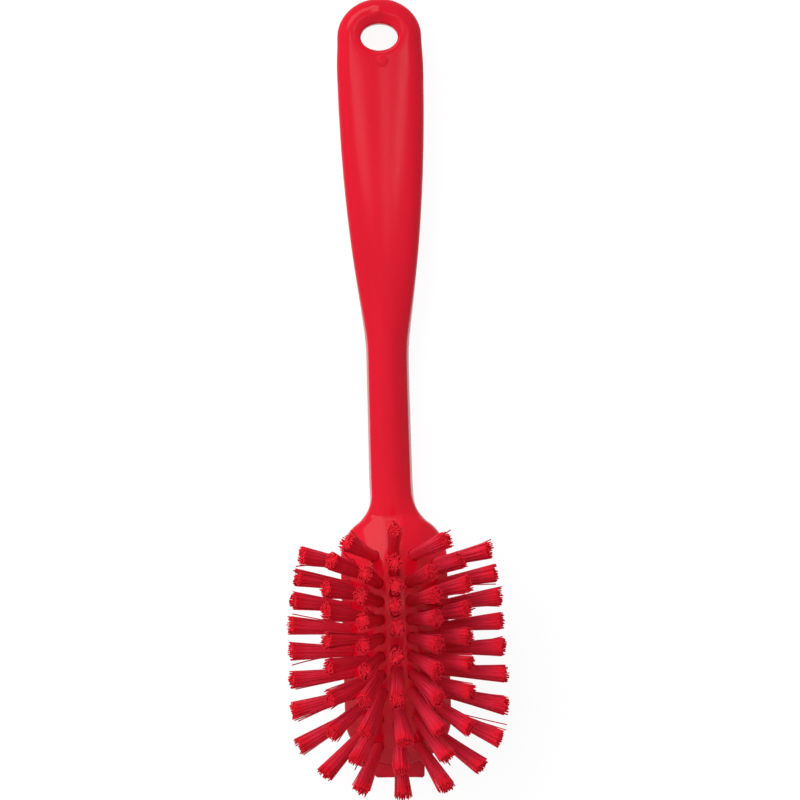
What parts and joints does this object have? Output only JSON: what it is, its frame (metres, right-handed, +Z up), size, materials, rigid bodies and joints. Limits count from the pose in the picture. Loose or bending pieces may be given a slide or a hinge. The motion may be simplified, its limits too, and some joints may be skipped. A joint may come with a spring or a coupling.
{
  "type": "scrub brush",
  "caption": "One-piece red plastic dish brush: rounded handle with oval hanging hole, slim neck, faceted head with fanned bristle tufts and a flat scraping edge at the tip.",
  "frame": {"origin": "middle of the underside of the bounding box, with the brush lying on its back", "axes": "+Y along the brush towards the handle end, +Z up out of the flat back, the way the crown tufts point, +X to the right when looking down on the tufts with the handle end up"},
  "size_m": [0.075, 0.2694, 0.0476],
  "materials": {
    "red_moulded_plastic": "semi-gloss moulded polypropylene",
    "filament_tuft_inner_left_01": "satin polyester filament",
    "filament_tuft_inner_left_02": "satin polyester filament",
    "filament_tuft_inner_left_03": "satin polyester filament",
    "filament_tuft_inner_left_04": "satin polyester filament",
    "filament_tuft_inner_left_05": "satin polyester filament",
    "filament_tuft_inner_left_06": "satin polyester filament",
    "filament_tuft_inner_left_07": "satin polyester filament",
    "filament_tuft_inner_right_01": "satin polyester filament",
    "filament_tuft_inner_right_02": "satin polyester filament",
    "filament_tuft_inner_right_03": "satin polyester filament",
    "filament_tuft_inner_right_04": "satin polyester filament",
    "filament_tuft_inner_right_05": "satin polyester filament",
    "filament_tuft_inner_right_06": "satin polyester filament",
    "filament_tuft_inner_right_07": "satin polyester filament",
    "filament_tuft_inner_tip": "satin polyester filament",
    "filament_tuft_middle_left_01": "satin polyester filament",
    "filament_tuft_middle_left_02": "satin polyester filament",
    "filament_tuft_middle_left_03": "satin polyester filament",
    "filament_tuft_middle_left_04": "satin polyester filament",
    "filament_tuft_middle_left_05": "satin polyester filament",
    "filament_tuft_middle_left_06": "satin polyester filament",
    "filament_tuft_middle_left_07": "satin polyester filament",
    "filament_tuft_middle_left_08": "satin polyester filament",
    "filament_tuft_middle_left_09": "satin polyester filament",
    "filament_tuft_middle_right_01": "satin polyester filament",
    "filament_tuft_middle_right_02": "satin polyester filament",
    "filament_tuft_middle_right_03": "satin polyester filament",
    "filament_tuft_middle_right_04": "satin polyester filament",
    "filament_tuft_middle_right_05": "satin polyester filament",
    "filament_tuft_middle_right_06": "satin polyester filament",
    "filament_tuft_middle_right_07": "satin polyester filament",
    "filament_tuft_middle_right_08": "satin polyester filament",
    "filament_tuft_middle_right_09": "satin polyester filament",
    "filament_tuft_middle_tip": "satin polyester filament",
    "filament_tuft_outer_left_01": "satin polyester filament",
    "filament_tuft_outer_left_02": "satin polyester filament",
    "filament_tuft_outer_left_03": "satin polyester filament",
    "filament_tuft_outer_left_04": "satin polyester filament",
    "filament_tuft_outer_left_05": "satin polyester filament",
    "filament_tuft_outer_left_06": "satin polyester filament",
    "filament_tuft_outer_left_07": "satin polyester filament",
    "filament_tuft_outer_left_08": "satin polyester filament",
    "filament_tuft_outer_left_09": "satin polyester filament",
    "filament_tuft_outer_left_10": "satin polyester filament",
    "filament_tuft_outer_right_01": "satin polyester filament",
    "filament_tuft_outer_right_02": "satin polyester filament",
    "filament_tuft_outer_right_03": "satin polyester filament",
    "filament_tuft_outer_right_04": "satin polyester filament",
    "filament_tuft_outer_right_05": "satin polyester filament",
    "filament_tuft_outer_right_06": "satin polyester filament",
    "filament_tuft_outer_right_07": "satin polyester filament",
    "filament_tuft_outer_right_08": "satin polyester filament",
    "filament_tuft_outer_right_09": "satin polyester filament",
    "filament_tuft_outer_right_10": "satin polyester filament",
    "filament_tuft_outer_tip": "satin polyester filament",
    "filament_tuft_row_centre": "satin polyester filament"
  },
  "bodies": {
    "root": {"brush_body": "red_moulded_plastic", "tuft_inner_left_01": "filament_tuft_inner_left_01", "tuft_inner_left_02": "filament_tuft_inner_left_02", "tuft_inner_left_03": "filament_tuft_inner_left_03", "tuft_inner_left_04": "filament_tuft_inner_left_04", "tuft_inner_left_05": "filament_tuft_inner_left_05", "tuft_inner_left_06": "filament_tuft_inner_left_06", "tuft_inner_left_07": "filament_tuft_inner_left_07", "tuft_inner_right_01": "filament_tuft_inner_right_01", "tuft_inner_right_02": "filament_tuft_inner_right_02", "tuft_inner_right_03": "filament_tuft_inner_right_03", "tuft_inner_right_04": "filament_tuft_inner_right_04", "tuft_inner_right_05": "filament_tuft_inner_right_05", "tuft_inner_right_06": "filament_tuft_inner_right_06", "tuft_inner_right_07": "filament_tuft_inner_right_07", "tuft_inner_tip": "filament_tuft_inner_tip", "tuft_middle_left_01": "filament_tuft_middle_left_01", "tuft_middle_left_02": "filament_tuft_middle_left_02", "tuft_middle_left_03": "filament_tuft_middle_left_03", "tuft_middle_left_04": "filament_tuft_middle_left_04", "tuft_middle_left_05": "filament_tuft_middle_left_05", "tuft_middle_left_06": "filament_tuft_middle_left_06", "tuft_middle_left_07": "filament_tuft_middle_left_07", "tuft_middle_left_08": "filament_tuft_middle_left_08", "tuft_middle_left_09": "filament_tuft_middle_left_09", "tuft_middle_right_01": "filament_tuft_middle_right_01", "tuft_middle_right_02": "filament_tuft_middle_right_02", "tuft_middle_right_03": "filament_tuft_middle_right_03", "tuft_middle_right_04": "filament_tuft_middle_right_04", "tuft_middle_right_05": "filament_tuft_middle_right_05", "tuft_middle_right_06": "filament_tuft_middle_right_06", "tuft_middle_right_07": "filament_tuft_middle_right_07", "tuft_middle_right_08": "filament_tuft_middle_right_08", "tuft_middle_right_09": "filament_tuft_middle_right_09", "tuft_middle_tip": "filament_tuft_middle_tip", "tuft_outer_left_01": "filament_tuft_outer_left_01", "tuft_outer_left_02": "filament_tuft_outer_left_02", "tuft_outer_left_03": "filament_tuft_outer_left_03", "tuft_outer_left_04": "filament_tuft_outer_left_04", "tuft_outer_left_05": "filament_tuft_outer_left_05", "tuft_outer_left_06": "filament_tuft_outer_left_06", "tuft_outer_left_07": "filament_tuft_outer_left_07", "tuft_outer_left_08": "filament_tuft_outer_left_08", "tuft_outer_left_09": "filament_tuft_outer_left_09", "tuft_outer_left_10": "filament_tuft_outer_left_10", "tuft_outer_right_01": "filament_tuft_outer_right_01", "tuft_outer_right_02": "filament_tuft_outer_right_02", "tuft_outer_right_03": "filament_tuft_outer_right_03", "tuft_outer_right_04": "filament_tuft_outer_right_04", "tuft_outer_right_05": "filament_tuft_outer_right_05", "tuft_outer_right_06": "filament_tuft_outer_right_06", "tuft_outer_right_07": "filament_tuft_outer_right_07", "tuft_outer_right_08": "filament_tuft_outer_right_08", "tuft_outer_right_09": "filament_tuft_outer_right_09", "tuft_outer_right_10": "filament_tuft_outer_right_10", "tuft_outer_tip": "filament_tuft_outer_tip", "tuft_row_centre": "filament_tuft_row_centre"}
  },
  "joints": []
}
